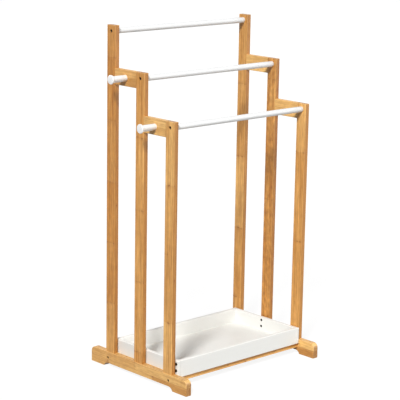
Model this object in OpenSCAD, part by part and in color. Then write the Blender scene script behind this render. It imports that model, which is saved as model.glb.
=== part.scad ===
// Free-standing three-tier towel rack: two stepped bamboo side frames joined by
// three round painted bars and two cross rails, with a painted tray low down
// and turned pegs on the outer sides. X runs along the bars, Y from front to
// back, Z up. The origin is on the floor, midway between the frames and feet.

/* [Overall] */
// Height of the rear post, which is the height of the rack
rack_h = 830; // [700:1:1000]
// Width across the outer faces of the posts
frame_w = 440; // [340:1:640]
// Length of each foot, front to back
foot_l = 345; // [330:1:460]

/* [Steps] */
// Drop in height from one post to the next one in front of it
step_h = 99; // [70:1:140]
// Distance between the centres of neighbouring posts
step_y = 104; // [90:1:130]

/* [Side frames] */
// Thickness of the posts and short rails
post_t = 13; // [11:0.5:18]
// Depth of a post, front to back
post_d = 29; // [26:0.5:36]
// Height of the short rails between the posts
rail_h = 38; // [32:0.5:60]
// Rounding of the edges of all the timber
edge_r = 1.2; // [0.6:0.1:2.5]

/* [Feet] */
// Height of a foot
foot_h = 37.5; // [34:0.5:50]
// Thickness of a foot
foot_t = 16; // [14:0.5:22]
// Radius of a foot's upper corners
foot_corner_r = 12; // [4:0.5:20]
// Height of the hollow under a foot
foot_relief_h = 9; // [4:0.5:12]
// Length of the pad left at each end of that hollow
foot_pad_l = 48; // [30:1:60]
// Radius at the ends of the hollow
foot_relief_r = 14; // [12:0.5:20]

/* [Cross rails] */
// Depth of a cross rail, front to back
cross_rail_d = 17; // [12:0.5:24]
// Height of a cross rail
cross_rail_h = 12.5; // [10:0.5:16]
// Height of a cross rail's underside above the floor
cross_rail_z = 16.5; // [13:0.5:18]

/* [Bars] */
// Outer diameter of a bar
bar_d = 14; // [12:0.5:20]
// Wall of a bar's tube
bar_wall = 1.2; // [0.8:0.1:2]
// Distance from a post's top down to the bar's centre
bar_drop = 14; // [12:0.5:20]
// Depth of the socket that holds a bar's end
bar_socket_depth = 3; // [1:0.5:4]
// Length of the threaded plug inside a bar's end
bar_plug_l = 18; // [12:1:30]

/* [Pegs] */
// Length of a peg, from the rail to its face
peg_l = 46; // [30:1:60]
// Diameter of a peg's shaft
peg_shaft_d = 15.4; // [12:0.2:18]
// Diameter of a peg's head
peg_head_d = 21.6; // [19:0.2:28]
// Thickness of a peg's head at its rim
peg_head_t = 4.4; // [3:0.2:8]
// Length of the flare between a peg's shaft and its head
peg_flare_l = 6; // [3:0.5:12]
// Rounding of the rim of a peg's head
peg_rim_r = 1.6; // [0.5:0.1:2.2]

/* [Tray] */
// How far the tray's back stands on the rear cross rail
tray_seat = 4; // [2:0.5:10]
// Height of the tray's walls
tray_h = 40; // [34:1:70]
// Thickness of the tray's walls
tray_wall_t = 10; // [9:0.5:14]
// Thickness of the tray's floor
tray_floor_t = 5; // [3:0.5:6]
// How far the tray's front stands out beyond the front posts
tray_overhang = 5; // [2:0.5:8]
// Gap between the tray's ends and the posts
tray_gap = 3; // [2.6:0.1:6]
// Width of the rebate in the walls that takes the floor
tray_rebate = 5; // [3:0.5:6]
// Rounding of the upper edges of the tray's walls
tray_edge_r = 1.5; // [0.6:0.1:3]

/* [Fasteners] */
// Diameter of a dowel
dowel_d = 6; // [5:0.5:8]
// Depth that a dowel enters each piece
dowel_depth = 9; // [7:0.5:11]
// Distance between the two dowels of a joint
dowel_pitch = 16; // [12:0.5:19]
// Diameter of a bar screw's head
bar_screw_head_d = 7.6; // [6:0.2:9]
// Thickness of a bar screw's head
bar_screw_head_t = 2.8; // [2:0.1:3.5]
// Diameter of a bar screw's shank
bar_screw_d = 4; // [3:0.2:5]
// Diameter of a cross rail screw's head
rail_screw_head_d = 6.4; // [5.6:0.2:9]
// Thickness of a cross rail screw's head
rail_screw_head_t = 3; // [2:0.1:4]
// Diameter of a cross rail screw's shank
rail_screw_d = 4; // [3:0.2:4.4]
// How far a cross rail screw enters the rail
rail_screw_grip = 32; // [20:1:45]
// How far the screw heads in the frames sit below the surface
screw_recess = 1.2; // [0.4:0.1:2]
// Diameter of a tray screw's head
tray_screw_head_d = 6.6; // [5:0.2:8]
// Thickness of a tray screw's head
tray_screw_head_t = 2.2; // [1.4:0.1:2.4]
// Diameter of a tray screw's shank
tray_screw_d = 3.4; // [2.6:0.2:4]
// How far a tray screw goes beyond the tray's end wall
tray_screw_grip = 22; // [16:1:30]
// Distance between the upper and lower tray screws
tray_screw_pitch = 16; // [10:0.5:20]
// Height of the middle of the tray screws above the tray's underside
tray_screw_z = 24.5; // [18:0.5:25]
// Diameter of the spacer between the tray and a middle post
tray_spacer_d = 10; // [8:0.5:14]
// How far a tray fixing screw enters a middle post
tray_fixing_grip = 9; // [6:0.5:9.5]
// Diameter of a peg's stud
peg_stud_d = 5; // [4:0.2:6]
// How far a peg's stud enters the rail
peg_stud_rail_l = 9; // [6:0.5:9.5]
// How far a peg's stud enters the peg
peg_stud_peg_l = 16; // [10:1:22]

/* [Hidden] */
$fn = 64;
fit_gap = 0.1;
hole_tip_gap = 0.5;
cut_past = 1;
hex_corners = 6;
hex_share = 0.5;
hex_depth_share = 0.6;
arc_steps = 6;
bamboo_light = "#d9a566";
bamboo_dark = "#c88a48";
paint_white = "#f2f2ef";
screw_dark = "#2b2420";
dowel_pale = "#e3c48f";
steel_grey = "#9a9c9e";

front = 0;
middle = 1;
rear = 2;
post_rows = [front, middle, rear];
rail_rows = [front, middle];
ends = [-1, 1];
left = -1;
right = 1;

post_x = (frame_w - post_t) / 2;
post_inner_x = frame_w / 2 - post_t;
foot_inner_x = post_x - foot_t / 2;
foot_outer_x = post_x + foot_t / 2;
bar_l = 2 * (post_inner_x + bar_socket_depth);
bar_bore_d = bar_d - 2 * bar_wall;
bar_head_bed = bar_screw_head_t + screw_recess;
bar_screw_l = post_t - bar_head_bed - bar_socket_depth + bar_plug_l - hole_tip_gap;
rail_head_bed = rail_screw_head_t + screw_recess;
rail_screw_l = foot_t - rail_head_bed + rail_screw_grip;
cross_rail_y = step_y + (post_d - cross_rail_d) / 2;
cross_rail_mid_z = cross_rail_z + cross_rail_h / 2;
tray_z = cross_rail_z + cross_rail_h;
tray_outer_x = post_inner_x - tray_gap;
tray_inner_x = tray_outer_x - tray_wall_t;
tray_front_y = -step_y - post_d / 2 - tray_overhang;
tray_back_y = cross_rail_y - cross_rail_d / 2 + tray_seat;
tray_d = tray_back_y - tray_front_y;
tray_corner_ys = [tray_front_y + tray_wall_t / 2, tray_back_y - tray_wall_t / 2];
tray_screw_zs = [for (s = ends) tray_z + tray_screw_z + s * tray_screw_pitch / 2];
peg_drop = rail_h / 2;

// Centre of a row of posts, front to back
function post_y(row) = (row - middle) * step_y;

// Top of a row of posts; the short rail behind it has the same top
function post_top(row) = rack_h - (rear - row) * step_h;

// Centre of a row's bar, as [y, z]
function bar_yz(row) = [post_y(row), post_top(row) - bar_drop];

// Centre of the peg on the short rail behind a row of posts, as [y, z]
function peg_yz(row) = [post_y(row) + step_y / 2, post_top(row) - peg_drop];

// Heights of the two dowels at the end of a row's short rail
function rail_dowel_zs(row) = [for (s = ends) post_top(row) - rail_h / 2 + s * dowel_pitch / 2];

// Points on a quarter circle about c with radius r, from angle a to a + 90
function quarter(c, r, a) = [
    for (i = [0 : arc_steps]) c + r * [cos(a + 90 * i / arc_steps), sin(a + 90 * i / arc_steps)]
];

// The right-hand side as drawn, or its mirror image on the left
module on_side(side) {
    if (side == left) mirror([1, 0, 0]) children();
    else children();
}

// A rectangle centred on the origin with rounded corners
module eased_rect(a, b, r = edge_r) {
    square([a - 2 * r, b], center = true);
    square([a, b - 2 * r], center = true);
    for (sx = ends, sy = ends) translate([sx * (a / 2 - r), sy * (b / 2 - r)]) circle(r);
}

// An outline of width w from z0 up to z1, with its two upper corners rounded
module topped_rect(w, z0, z1, r = edge_r) {
    translate([-w / 2, z0]) square([w, z1 - z0 - r]);
    translate([-w / 2 + r, z0]) square([w - 2 * r, z1 - z0]);
    for (s = ends) translate([s * (w / 2 - r), z1 - r]) circle(r);
}

// An upright board from z0 to z1, with rounded long edges and upper edges
module eased_upright(a, b, z0, z1, r = edge_r) {
    intersection() {
        translate([0, 0, z0]) linear_extrude(z1 - z0) eased_rect(a, b, r);
        translate([-a / 2 - cut_past, 0, 0])
            rotate([90, 0, 90]) linear_extrude(a + 2 * cut_past) topped_rect(b, z0, z1, r);
        translate([0, b / 2 + cut_past, 0])
            rotate([90, 0, 0]) linear_extrude(b + 2 * cut_past) topped_rect(a, z0, z1, r);
    }
}

// A disc of radius r and thickness t about the X axis, with rounded rims
module eased_disc_x(r, t) {
    rotate([0, 90, 0]) rotate_extrude() intersection() {
        eased_rect(2 * r, t);
        translate([0, -t]) square([r + cut_past, 2 * t]);
    }
}

// A rod along X from x, of length l, about the line through [y, z]
module rod_x(x, yz, d, l) {
    translate([x, yz[0], yz[1]]) rotate([0, 90, 0]) cylinder(d = d, h = l);
}

// A machine screw along X: head with a hexagon socket at x, shank inwards
module hex_screw_x(x, yz, head_d, head_t, shank_d, shank_l) {
    difference() {
        union() {
            rod_x(x - head_t, yz, head_d, head_t);
            rod_x(x - head_t - shank_l, yz, shank_d, shank_l);
        }
        translate([x - head_t * hex_depth_share, yz[0], yz[1]])
            rotate([0, 90, 0])
                cylinder(d = head_d * hex_share, h = head_t, $fn = hex_corners);
    }
}

// ---- side frames --------------------------------------------------------

// A foot before it is drilled: rounded upper corners, eased edges, hollow underside
module foot_blank() {
    half = foot_l / 2;
    corner_y = half - foot_corner_r;
    corner_z = foot_h - foot_corner_r;
    relief_c_z = foot_relief_h - foot_relief_r;
    relief_c_y = half - foot_pad_l - sqrt(pow(foot_relief_r, 2) - pow(relief_c_z, 2));
    difference() {
        union() {
            translate([0, corner_y, 0])
                rotate([90, 0, 0]) linear_extrude(2 * corner_y) topped_rect(foot_t, 0, foot_h);
            linear_extrude(corner_z) eased_rect(foot_t, foot_l);
            for (s = ends) translate([0, s * corner_y, corner_z])
                eased_disc_x(foot_corner_r, foot_t);
        }
        translate([-foot_t / 2 - cut_past, 0, 0]) rotate([90, 0, 90])
            linear_extrude(foot_t + 2 * cut_past) {
                translate([-relief_c_y, -cut_past])
                    square([2 * relief_c_y, foot_relief_h + cut_past]);
                for (s = ends) translate([s * relief_c_y, relief_c_z]) circle(foot_relief_r);
            }
    }
}

// A foot with dowel holes for its three posts and screw holes for the cross rails
module foot(side) {
    on_side(side) color(bamboo_light) difference() {
        translate([post_x, 0, 0]) foot_blank();
        for (row = post_rows, s = ends)
            translate([post_x, post_y(row) + s * dowel_pitch / 2, foot_h - dowel_depth - hole_tip_gap])
                cylinder(d = dowel_d + fit_gap, h = dowel_depth + hole_tip_gap + cut_past);
        for (s = ends) {
            yz = [s * cross_rail_y, cross_rail_mid_z];
            rod_x(foot_inner_x - cut_past, yz, rail_screw_d + fit_gap, foot_t + cut_past);
            rod_x(foot_outer_x - rail_head_bed, yz, rail_screw_head_d + fit_gap,
                rail_head_bed + cut_past);
        }
    }
}

// A post with the bar's socket and screw hole, and dowel holes for its joints
module post(side, row) {
    on_side(side) color(bamboo_dark) difference() {
        translate([post_x, post_y(row), 0])
            eased_upright(post_t, post_d, foot_h, post_top(row));
        rod_x(post_inner_x - cut_past, bar_yz(row), bar_d + fit_gap, bar_socket_depth + cut_past);
        rod_x(post_inner_x, bar_yz(row), bar_screw_d + fit_gap, post_t);
        rod_x(frame_w / 2 - bar_head_bed, bar_yz(row), bar_screw_head_d + fit_gap,
            bar_head_bed + cut_past);
        for (s = ends)
            translate([post_x, post_y(row) + s * dowel_pitch / 2, foot_h - cut_past])
                cylinder(d = dowel_d + fit_gap, h = dowel_depth + hole_tip_gap + cut_past);
        if (row != rear) for (z = rail_dowel_zs(row))
            rail_dowel_hole(post_y(row) + post_d / 2, z, -1);
        if (row != front) for (z = rail_dowel_zs(row - 1))
            rail_dowel_hole(post_y(row) - post_d / 2, z, 1);
        if (row == middle) for (z = tray_screw_zs)
            rod_x(post_inner_x - cut_past, [0, z], tray_screw_d + fit_gap,
                tray_fixing_grip + hole_tip_gap + cut_past);
    }
}

// A dowel hole from the face at y into the timber on the side that way points to
module rail_dowel_hole(y, z, way) {
    l = dowel_depth + hole_tip_gap + cut_past;
    start = way > 0 ? y - cut_past : y + cut_past - l;
    translate([post_x, start, z]) rotate([-90, 0, 0]) cylinder(d = dowel_d + fit_gap, h = l);
}

// The short rail between a row of posts and the row behind it
module short_rail(side, row) {
    y0 = post_y(row) + post_d / 2;
    y1 = post_y(row + 1) - post_d / 2;
    on_side(side) color(bamboo_dark) difference() {
        translate([post_x, y1, post_top(row) - rail_h / 2])
            rotate([90, 0, 0]) linear_extrude(y1 - y0) eased_rect(post_t, rail_h);
        for (z = rail_dowel_zs(row)) {
            rail_dowel_hole(y0, z, 1);
            rail_dowel_hole(y1, z, -1);
        }
        rod_x(frame_w / 2 - peg_stud_rail_l - hole_tip_gap, peg_yz(row), peg_stud_d + fit_gap,
            peg_stud_rail_l + hole_tip_gap + cut_past);
    }
}

module left_foot() { foot(left); }
module right_foot() { foot(right); }
module left_rear_post() { post(left, rear); }
module left_middle_post() { post(left, middle); }
module left_front_post() { post(left, front); }
module right_rear_post() { post(right, rear); }
module right_middle_post() { post(right, middle); }
module right_front_post() { post(right, front); }
module left_upper_rail() { short_rail(left, middle); }
module left_lower_rail() { short_rail(left, front); }
module right_upper_rail() { short_rail(right, middle); }
module right_lower_rail() { short_rail(right, front); }

// ---- bars and cross rails -----------------------------------------------

// A round tube whose ends sit in the sockets of two posts
module bar(row) {
    color(paint_white) difference() {
        rod_x(-bar_l / 2, bar_yz(row), bar_d, bar_l);
        rod_x(-bar_l / 2 - cut_past, bar_yz(row), bar_bore_d, bar_l + 2 * cut_past);
    }
}

module rear_bar() { bar(rear); }
module middle_bar() { bar(middle); }
module front_bar() { bar(front); }

// A rail between the feet, flush with the outer faces of the end posts
module cross_rail(way) {
    yz = [way * cross_rail_y, cross_rail_mid_z];
    hole_l = rail_screw_grip + hole_tip_gap + cut_past;
    color(bamboo_dark) difference() {
        translate([-foot_inner_x, yz[0], yz[1]]) rotate([90, 0, 90])
            linear_extrude(2 * foot_inner_x) eased_rect(cross_rail_d, cross_rail_h);
        for (side = ends) on_side(side)
            rod_x(foot_inner_x + cut_past - hole_l, yz, rail_screw_d + fit_gap, hole_l);
    }
}

module front_cross_rail() { cross_rail(-1); }
module rear_cross_rail() { cross_rail(1); }

// ---- tray -----------------------------------------------------------------

// The floor lies in a rebate that runs round the inside of the four walls
module tray_floor() {
    grow = tray_rebate - fit_gap;
    inner_d = tray_d - 2 * tray_wall_t;
    color(paint_white)
        translate([-tray_inner_x - grow, tray_front_y + tray_wall_t - grow, tray_z])
            cube([2 * (tray_inner_x + grow), inner_d + 2 * grow, tray_floor_t]);
}

// A long wall between the end walls; way points from its outer to its inner face
module tray_long_wall(outer_y, way) {
    y0 = way > 0 ? outer_y : outer_y - tray_wall_t;
    rebate_y = way > 0 ? outer_y + tray_wall_t - tray_rebate : outer_y - tray_wall_t - cut_past;
    hole_l = tray_screw_grip + hole_tip_gap + cut_past;
    color(paint_white) difference() {
        translate([-tray_inner_x, y0 + tray_wall_t / 2, 0]) rotate([90, 0, 90])
            linear_extrude(2 * tray_inner_x)
                topped_rect(tray_wall_t, tray_z, tray_z + tray_h, tray_edge_r);
        translate([-tray_inner_x - cut_past, rebate_y, tray_z - cut_past])
            cube([2 * (tray_inner_x + cut_past), tray_rebate + cut_past, tray_floor_t + cut_past]);
        for (side = ends, z = tray_screw_zs) on_side(side)
            rod_x(tray_inner_x + cut_past - hole_l, [outer_y + way * tray_wall_t / 2, z],
                tray_screw_d + fit_gap, hole_l);
    }
}

module tray_front() { tray_long_wall(tray_front_y, 1); }
module tray_back() { tray_long_wall(tray_back_y, -1); }

// An end wall covers the ends of the long walls
module tray_end(side) {
    rebate_y = tray_front_y + tray_wall_t - tray_rebate;
    on_side(side) color(paint_white) difference() {
        translate([tray_inner_x + tray_wall_t / 2, tray_front_y + tray_d / 2, 0])
            eased_upright(tray_wall_t, tray_d, tray_z, tray_z + tray_h, tray_edge_r);
        translate([tray_inner_x - cut_past, rebate_y, tray_z - cut_past])
            cube([tray_rebate + cut_past, tray_back_y - tray_wall_t + tray_rebate - rebate_y,
                tray_floor_t + cut_past]);
        for (y = tray_corner_ys, z = tray_screw_zs)
            rod_x(tray_inner_x - cut_past, [y, z], tray_screw_d + fit_gap,
                tray_wall_t + 2 * cut_past);
        for (z = tray_screw_zs) {
            rod_x(tray_inner_x - cut_past, [0, z], tray_screw_d + fit_gap,
                tray_wall_t + 2 * cut_past);
            rod_x(tray_inner_x - cut_past, [0, z], tray_screw_head_d + fit_gap,
                tray_screw_head_t + cut_past);
        }
    }
}

module tray_left_end() { tray_end(left); }
module tray_right_end() { tray_end(right); }

// ---- pegs -----------------------------------------------------------------

// Half section of a peg, standing on the rail: shaft, flare, rounded head
function peg_outline() =
    let (r = peg_shaft_d / 2,
         head_r = peg_head_d / 2,
         head_z = peg_l - peg_head_t,
         flare = head_r - r - peg_rim_r / 2)
    concat(
        [[0, 0], [r, 0], [r, head_z - peg_flare_l]],
        [for (i = [1 : arc_steps])
            let (a = 90 * i / arc_steps)
            [r + flare * (1 - cos(a)), head_z - peg_flare_l * (1 - sin(a))]],
        quarter([head_r - peg_rim_r, head_z + peg_rim_r], peg_rim_r, -90),
        quarter([head_r - peg_rim_r, peg_l - peg_rim_r], peg_rim_r, 0),
        [[0, peg_l]]
    );

// A turned peg on the outer face of the short rail behind a row of posts
module peg(side, row) {
    yz = peg_yz(row);
    on_side(side) color(paint_white) difference() {
        translate([frame_w / 2, yz[0], yz[1]]) rotate([0, 90, 0])
            rotate_extrude() polygon(peg_outline());
        rod_x(frame_w / 2 - cut_past, yz, peg_stud_d + fit_gap,
            peg_stud_peg_l + hole_tip_gap + cut_past);
    }
}

module left_upper_peg() { peg(left, middle); }
module left_lower_peg() { peg(left, front); }
module right_upper_peg() { peg(right, middle); }
module right_lower_peg() { peg(right, front); }

// ---- fasteners --------------------------------------------------------------

// Threaded plugs pressed into the ends of the bars
module bar_plugs() {
    color(steel_grey) for (side = ends, row = post_rows) on_side(side) difference() {
        rod_x(bar_l / 2 - bar_plug_l, bar_yz(row), bar_bore_d - fit_gap, bar_plug_l);
        rod_x(bar_l / 2 - bar_plug_l - cut_past, bar_yz(row), bar_screw_d + fit_gap,
            bar_plug_l + 2 * cut_past);
    }
}

// Screws through the posts into the bars' plugs
module bar_screws() {
    color(screw_dark) for (side = ends, row = post_rows) on_side(side)
        hex_screw_x(frame_w / 2 - screw_recess, bar_yz(row), bar_screw_head_d,
            bar_screw_head_t, bar_screw_d, bar_screw_l);
}

// Screws through the feet into the cross rails
module cross_rail_screws() {
    color(screw_dark) for (side = ends, way = ends) on_side(side)
        hex_screw_x(foot_outer_x - screw_recess, [way * cross_rail_y, cross_rail_mid_z],
            rail_screw_head_d, rail_screw_head_t, rail_screw_d, rail_screw_l);
}

// Screws through the tray's end walls into its front and back
module tray_corner_screws() {
    color(screw_dark) for (side = ends, y = tray_corner_ys, z = tray_screw_zs) on_side(side) {
        rod_x(tray_outer_x, [y, z], tray_screw_head_d, tray_screw_head_t);
        rod_x(tray_inner_x - tray_screw_grip, [y, z], tray_screw_d,
            tray_screw_grip + tray_wall_t);
    }
}

// Screws from inside the tray into the middle posts
module tray_fixing_screws() {
    color(screw_dark) for (side = ends, z = tray_screw_zs) on_side(side) {
        rod_x(tray_inner_x, [0, z], tray_screw_head_d, tray_screw_head_t);
        rod_x(tray_inner_x, [0, z], tray_screw_d, tray_wall_t + tray_gap + tray_fixing_grip);
    }
}

// Spacers on those screws, between the tray and the middle posts
module tray_spacers() {
    color(screw_dark) for (side = ends, z = tray_screw_zs) on_side(side) difference() {
        rod_x(tray_outer_x, [0, z], tray_spacer_d, tray_gap);
        rod_x(tray_outer_x - cut_past, [0, z], tray_screw_d + fit_gap,
            tray_gap + 2 * cut_past);
    }
}

// Upright dowels that join the posts to the feet
module post_dowels() {
    color(dowel_pale) for (side = ends, row = post_rows, s = ends) on_side(side)
        translate([post_x, post_y(row) + s * dowel_pitch / 2, foot_h - dowel_depth])
            cylinder(d = dowel_d, h = 2 * dowel_depth);
}

// Level dowels that join the short rails to the posts
module rail_dowels() {
    color(dowel_pale)
        for (side = ends, row = rail_rows, z = rail_dowel_zs(row))
            for (y = [post_y(row) + post_d / 2, post_y(row + 1) - post_d / 2])
                on_side(side) translate([post_x, y - dowel_depth, z])
                    rotate([-90, 0, 0]) cylinder(d = dowel_d, h = 2 * dowel_depth);
}

// Studs that hold the pegs on the short rails
module peg_studs() {
    color(steel_grey) for (side = ends, row = rail_rows) on_side(side)
        rod_x(frame_w / 2 - peg_stud_rail_l, peg_yz(row), peg_stud_d,
            peg_stud_rail_l + peg_stud_peg_l);
}

left_foot();
right_foot();
left_rear_post();
left_middle_post();
left_front_post();
right_rear_post();
right_middle_post();
right_front_post();
left_upper_rail();
left_lower_rail();
right_upper_rail();
right_lower_rail();
rear_bar();
middle_bar();
front_bar();
rear_cross_rail();
front_cross_rail();
tray_floor();
tray_front();
tray_back();
tray_left_end();
tray_right_end();
left_upper_peg();
left_lower_peg();
right_upper_peg();
right_lower_peg();
bar_plugs();
bar_screws();
cross_rail_screws();
tray_corner_screws();
tray_fixing_screws();
tray_spacers();
post_dowels();
rail_dowels();
peg_studs();
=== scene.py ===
"""Finishes the towel rack: bamboo, white paint and dark screws on the fixed frame, in a plain
studio.

The timber and the tray keep the frame's own shapes and get their surfaces here. The bars, the pegs
and all the screws are made here as surfaces of revolution, each in the place that the frame's node
holds.
"""
import math
from typing import NamedTuple

import bpy
import numpy as np
from bpy.props import FloatProperty, FloatVectorProperty, IntProperty, PointerProperty
from mathutils import Matrix, Vector


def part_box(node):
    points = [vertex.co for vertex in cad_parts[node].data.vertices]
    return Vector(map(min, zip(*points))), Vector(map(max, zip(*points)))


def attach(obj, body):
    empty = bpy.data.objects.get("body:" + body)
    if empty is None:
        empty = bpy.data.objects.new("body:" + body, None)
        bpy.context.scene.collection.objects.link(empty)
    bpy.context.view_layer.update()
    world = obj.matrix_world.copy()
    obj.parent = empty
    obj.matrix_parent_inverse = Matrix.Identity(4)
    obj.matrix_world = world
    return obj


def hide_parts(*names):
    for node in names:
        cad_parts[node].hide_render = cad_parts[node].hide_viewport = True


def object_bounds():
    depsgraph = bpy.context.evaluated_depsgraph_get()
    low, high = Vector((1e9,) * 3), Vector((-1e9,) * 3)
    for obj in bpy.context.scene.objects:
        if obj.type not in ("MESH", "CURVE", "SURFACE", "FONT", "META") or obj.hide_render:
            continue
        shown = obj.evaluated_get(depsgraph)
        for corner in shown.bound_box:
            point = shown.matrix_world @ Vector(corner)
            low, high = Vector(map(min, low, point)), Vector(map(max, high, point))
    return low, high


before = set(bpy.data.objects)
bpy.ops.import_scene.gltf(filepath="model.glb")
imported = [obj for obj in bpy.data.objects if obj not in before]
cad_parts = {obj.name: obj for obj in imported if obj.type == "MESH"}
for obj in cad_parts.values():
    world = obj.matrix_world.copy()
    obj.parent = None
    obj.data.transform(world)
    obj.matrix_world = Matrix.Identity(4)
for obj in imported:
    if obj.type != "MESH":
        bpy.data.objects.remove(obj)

bl_info = {
    "name": "Towel rack finisher",
    "version": (1, 0, 0),
    "blender": (4, 5, 0),
    "location": "3D View > Sidebar > Towel rack",
    "description": "Makes a towel rack's bars, pegs and screws and finishes its timber and tray",
    "category": "Add Mesh",
}

MM = 0.001
BODY = "root"
SIDEWAYS, BACK, UP = range(3)
SIDES = {"left": -1, "right": 1}
ROWS = ("rear", "middle", "front")
PEG_ROWS = ("upper", "lower")
CAD_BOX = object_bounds()


def linear(code):
    """The linear RGB of an sRGB hex colour."""
    channels = np.array([int(code[i:i + 2], 16) for i in (1, 3, 5)]) / 255
    curved = ((channels + 0.055) / 1.055) ** 2.4
    return tuple(np.where(channels <= 0.04045, channels / 12.92, curved))


def rgba(colour):
    """A linear colour with full opacity."""
    return (*colour, 1.0)


def box_of(node):
    """The lowest and highest corner of a frame node, as arrays in metres."""
    low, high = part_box(node)
    return np.array(low), np.array(high)


def middle_of(node):
    """The centre of a frame node's box, in metres."""
    return sum(box_of(node)) / 2


# ---- settings ---------------------------------------------------------------


def size(name, description, mm, low_mm=0.0):
    """A length setting, given here in millimetres and kept in metres."""
    return FloatProperty(name=name, description=description, default=mm * MM, min=low_mm * MM,
                         subtype="DISTANCE", precision=4)


def colour(name, description, code):
    """A colour setting."""
    return FloatVectorProperty(name=name, description=description, default=linear(code), size=3,
                               subtype="COLOR", min=0.0, max=1.0)


def share(name, description, default):
    """A setting from 0 to 1."""
    return FloatProperty(name=name, description=description, default=default, min=0.0, max=1.0,
                         subtype="FACTOR")


def angle(name, description, degrees):
    """An angle setting, given here in degrees."""
    return FloatProperty(name=name, description=description, default=math.radians(degrees),
                         subtype="ANGLE")


def level(name, description, default):
    """The brightness of a lamp or the sky, as the radiance of a white matt face that looks straight
    at it."""
    return FloatProperty(name=name, description=description, default=default, min=0.0,
                         soft_max=2.0)


def facets(description, number):
    """How many flat faces go round a turned piece."""
    return IntProperty(name="Segments", description=description, default=number, min=12, max=256)


class BambooSettings(bpy.types.PropertyGroup):
    """How the laminated bamboo looks."""
    deep: colour("Deep strip", "Colour of the deepest strips", "#B57220")
    body: colour("Middling strip", "Colour of a middling strip", "#CC954F")
    pale: colour("Pale strip", "Colour of the palest strips", "#EFC076")
    edge_on: colour("Edge-on fibre", "Colour towards which the narrow faces lean", "#A7712F")
    band: colour("Node band", "Colour of the bands where the cane had its nodes", "#8A4E1C")
    # The rounded edges get a painted highlight: this paler colour stands in for the light that they
    # catch.
    edge_highlight: colour("Painted edge highlight", "Colour of the painted highlight on the rounded edges", "#EBC384")
    pore: colour("Pore", "Colour of the fibre bundles in the end grain", "#7A4A20")
    # The drilled holes' walls get painted shade for their hollow, over the dark of torn end fibre.
    hole_shade_and_torn_fibre: colour("Hole shade and torn fibre", "Colour of the walls of the drilled holes", "#4A2C12")
    layer_t: size("Layer thickness", "Thickness of one layer of strips", 4.4, 1.0)
    band_h: size("Node band height", "Height of the dark line of a node band", 2.6, 0.2)
    roughness: share("Roughness", "Roughness of the satin lacquer", 0.42)
    coat: share("Lacquer", "Strength of the clear lacquer's own reflection", 0.06)


class PaintSettings(bpy.types.PropertyGroup):
    """How the white paints look."""
    board: colour("Tray paint", "Satin paint of the tray's boards", "#E4E4E0")
    tube: colour("Bar coating", "Powder coating of the bars", "#E1E2E2")
    peg: colour("Peg paint", "Gloss paint of the turned pegs", "#F5F6F7")


class BarSettings(bpy.types.PropertyGroup):
    """The round bars."""
    wall: size("Tube wall", "Wall of a bar's tube", 1.2, 0.5)
    end_ease: size("End easing", "Rounding of a bar's cut ends", 0.3, 0.05)
    segments: facets("Faces round a bar", 96)


class PegSettings(bpy.types.PropertyGroup):
    """The turned pegs."""
    shaft_d: size("Shaft", "Diameter of a peg's shaft", 15.4, 5.0)
    head_t: size("Head thickness", "Thickness of a peg's head at its rim", 4.4, 1.0)
    flare_l: size("Flare", "Length of the flare between the shaft and the head", 6.0, 1.0)
    rim_r: size("Rim rounding", "Rounding of the head's rim", 1.6, 0.2)
    foot_r: size("Foot rounding", "Rounding of the shaft's end at the rail", 0.4, 0.1)
    dome: size("Dome", "How far the head's face bulges", 0.5)
    stud_d: size("Stud hole", "Diameter of the hole for the stud", 5.1, 1.0)
    stud_l: size("Stud hole depth", "Depth of the hole for the stud", 16.5, 1.0)
    segments: facets("Faces round a peg", 96)


class ScrewSettings(bpy.types.PropertyGroup):
    """The screws."""
    dome: size("Head dome", "How far a head's face bulges", 0.35)
    rim_r: size("Rim rounding", "Rounding of a head's rim", 0.35, 0.1)
    socket: share("Socket", "Width of the hexagon socket as a share of the head", 0.5)
    thread_pitch: size("Thread pitch", "Distance between the turns of a thread", 1.0, 0.3)
    thread_h: size("Thread height", "Height of a thread", 0.3, 0.05)
    segments: facets("Faces round a screw", 36)


class StudioSettings(bpy.types.PropertyGroup):
    """The camera and the lamps."""
    azimuth: angle("Azimuth", "Camera's direction round the rack", -43.08)
    elevation: angle("Elevation", "Camera's direction above the horizon", 12.71)
    roll: angle("Roll", "Camera's lean", 0.99)
    lens: FloatProperty(name="Lens", description="Focal length on a 36 mm sensor", default=138.36,
                        unit="CAMERA")
    place: FloatVectorProperty(name="Place", description="Camera's place", size=3,
                               default=(-2.4909, -2.6348, 1.2201), subtype="TRANSLATION")
    key: level("Key lamp", "Brightness of the large lamp at the upper left", 1.19)
    key_spread: angle("Key spread", "How wide the key lamp looks from the rack", 12.0)
    fill: level("Fill lamp", "Brightness of the wide lamp at the front", 0.51)
    back: level("Back lamps", "Brightness of the wide lamps at the right and behind", 0.48)
    sky: level("Sky", "Brightness of the even light from all round", 0.04)
    floor: share("Floor", "Share of the light that the floor throws back on the rack", 0.22)


SETTING_GROUPS = {
    "bamboo": BambooSettings,
    "paint": PaintSettings,
    "bar": BarSettings,
    "peg": PegSettings,
    "screw": ScrewSettings,
    "studio": StudioSettings,
}


def settings(group):
    """One group of settings of this scene."""
    return getattr(bpy.context.scene, "towel_rack_" + group)


# ---- meshes -----------------------------------------------------------------


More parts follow.
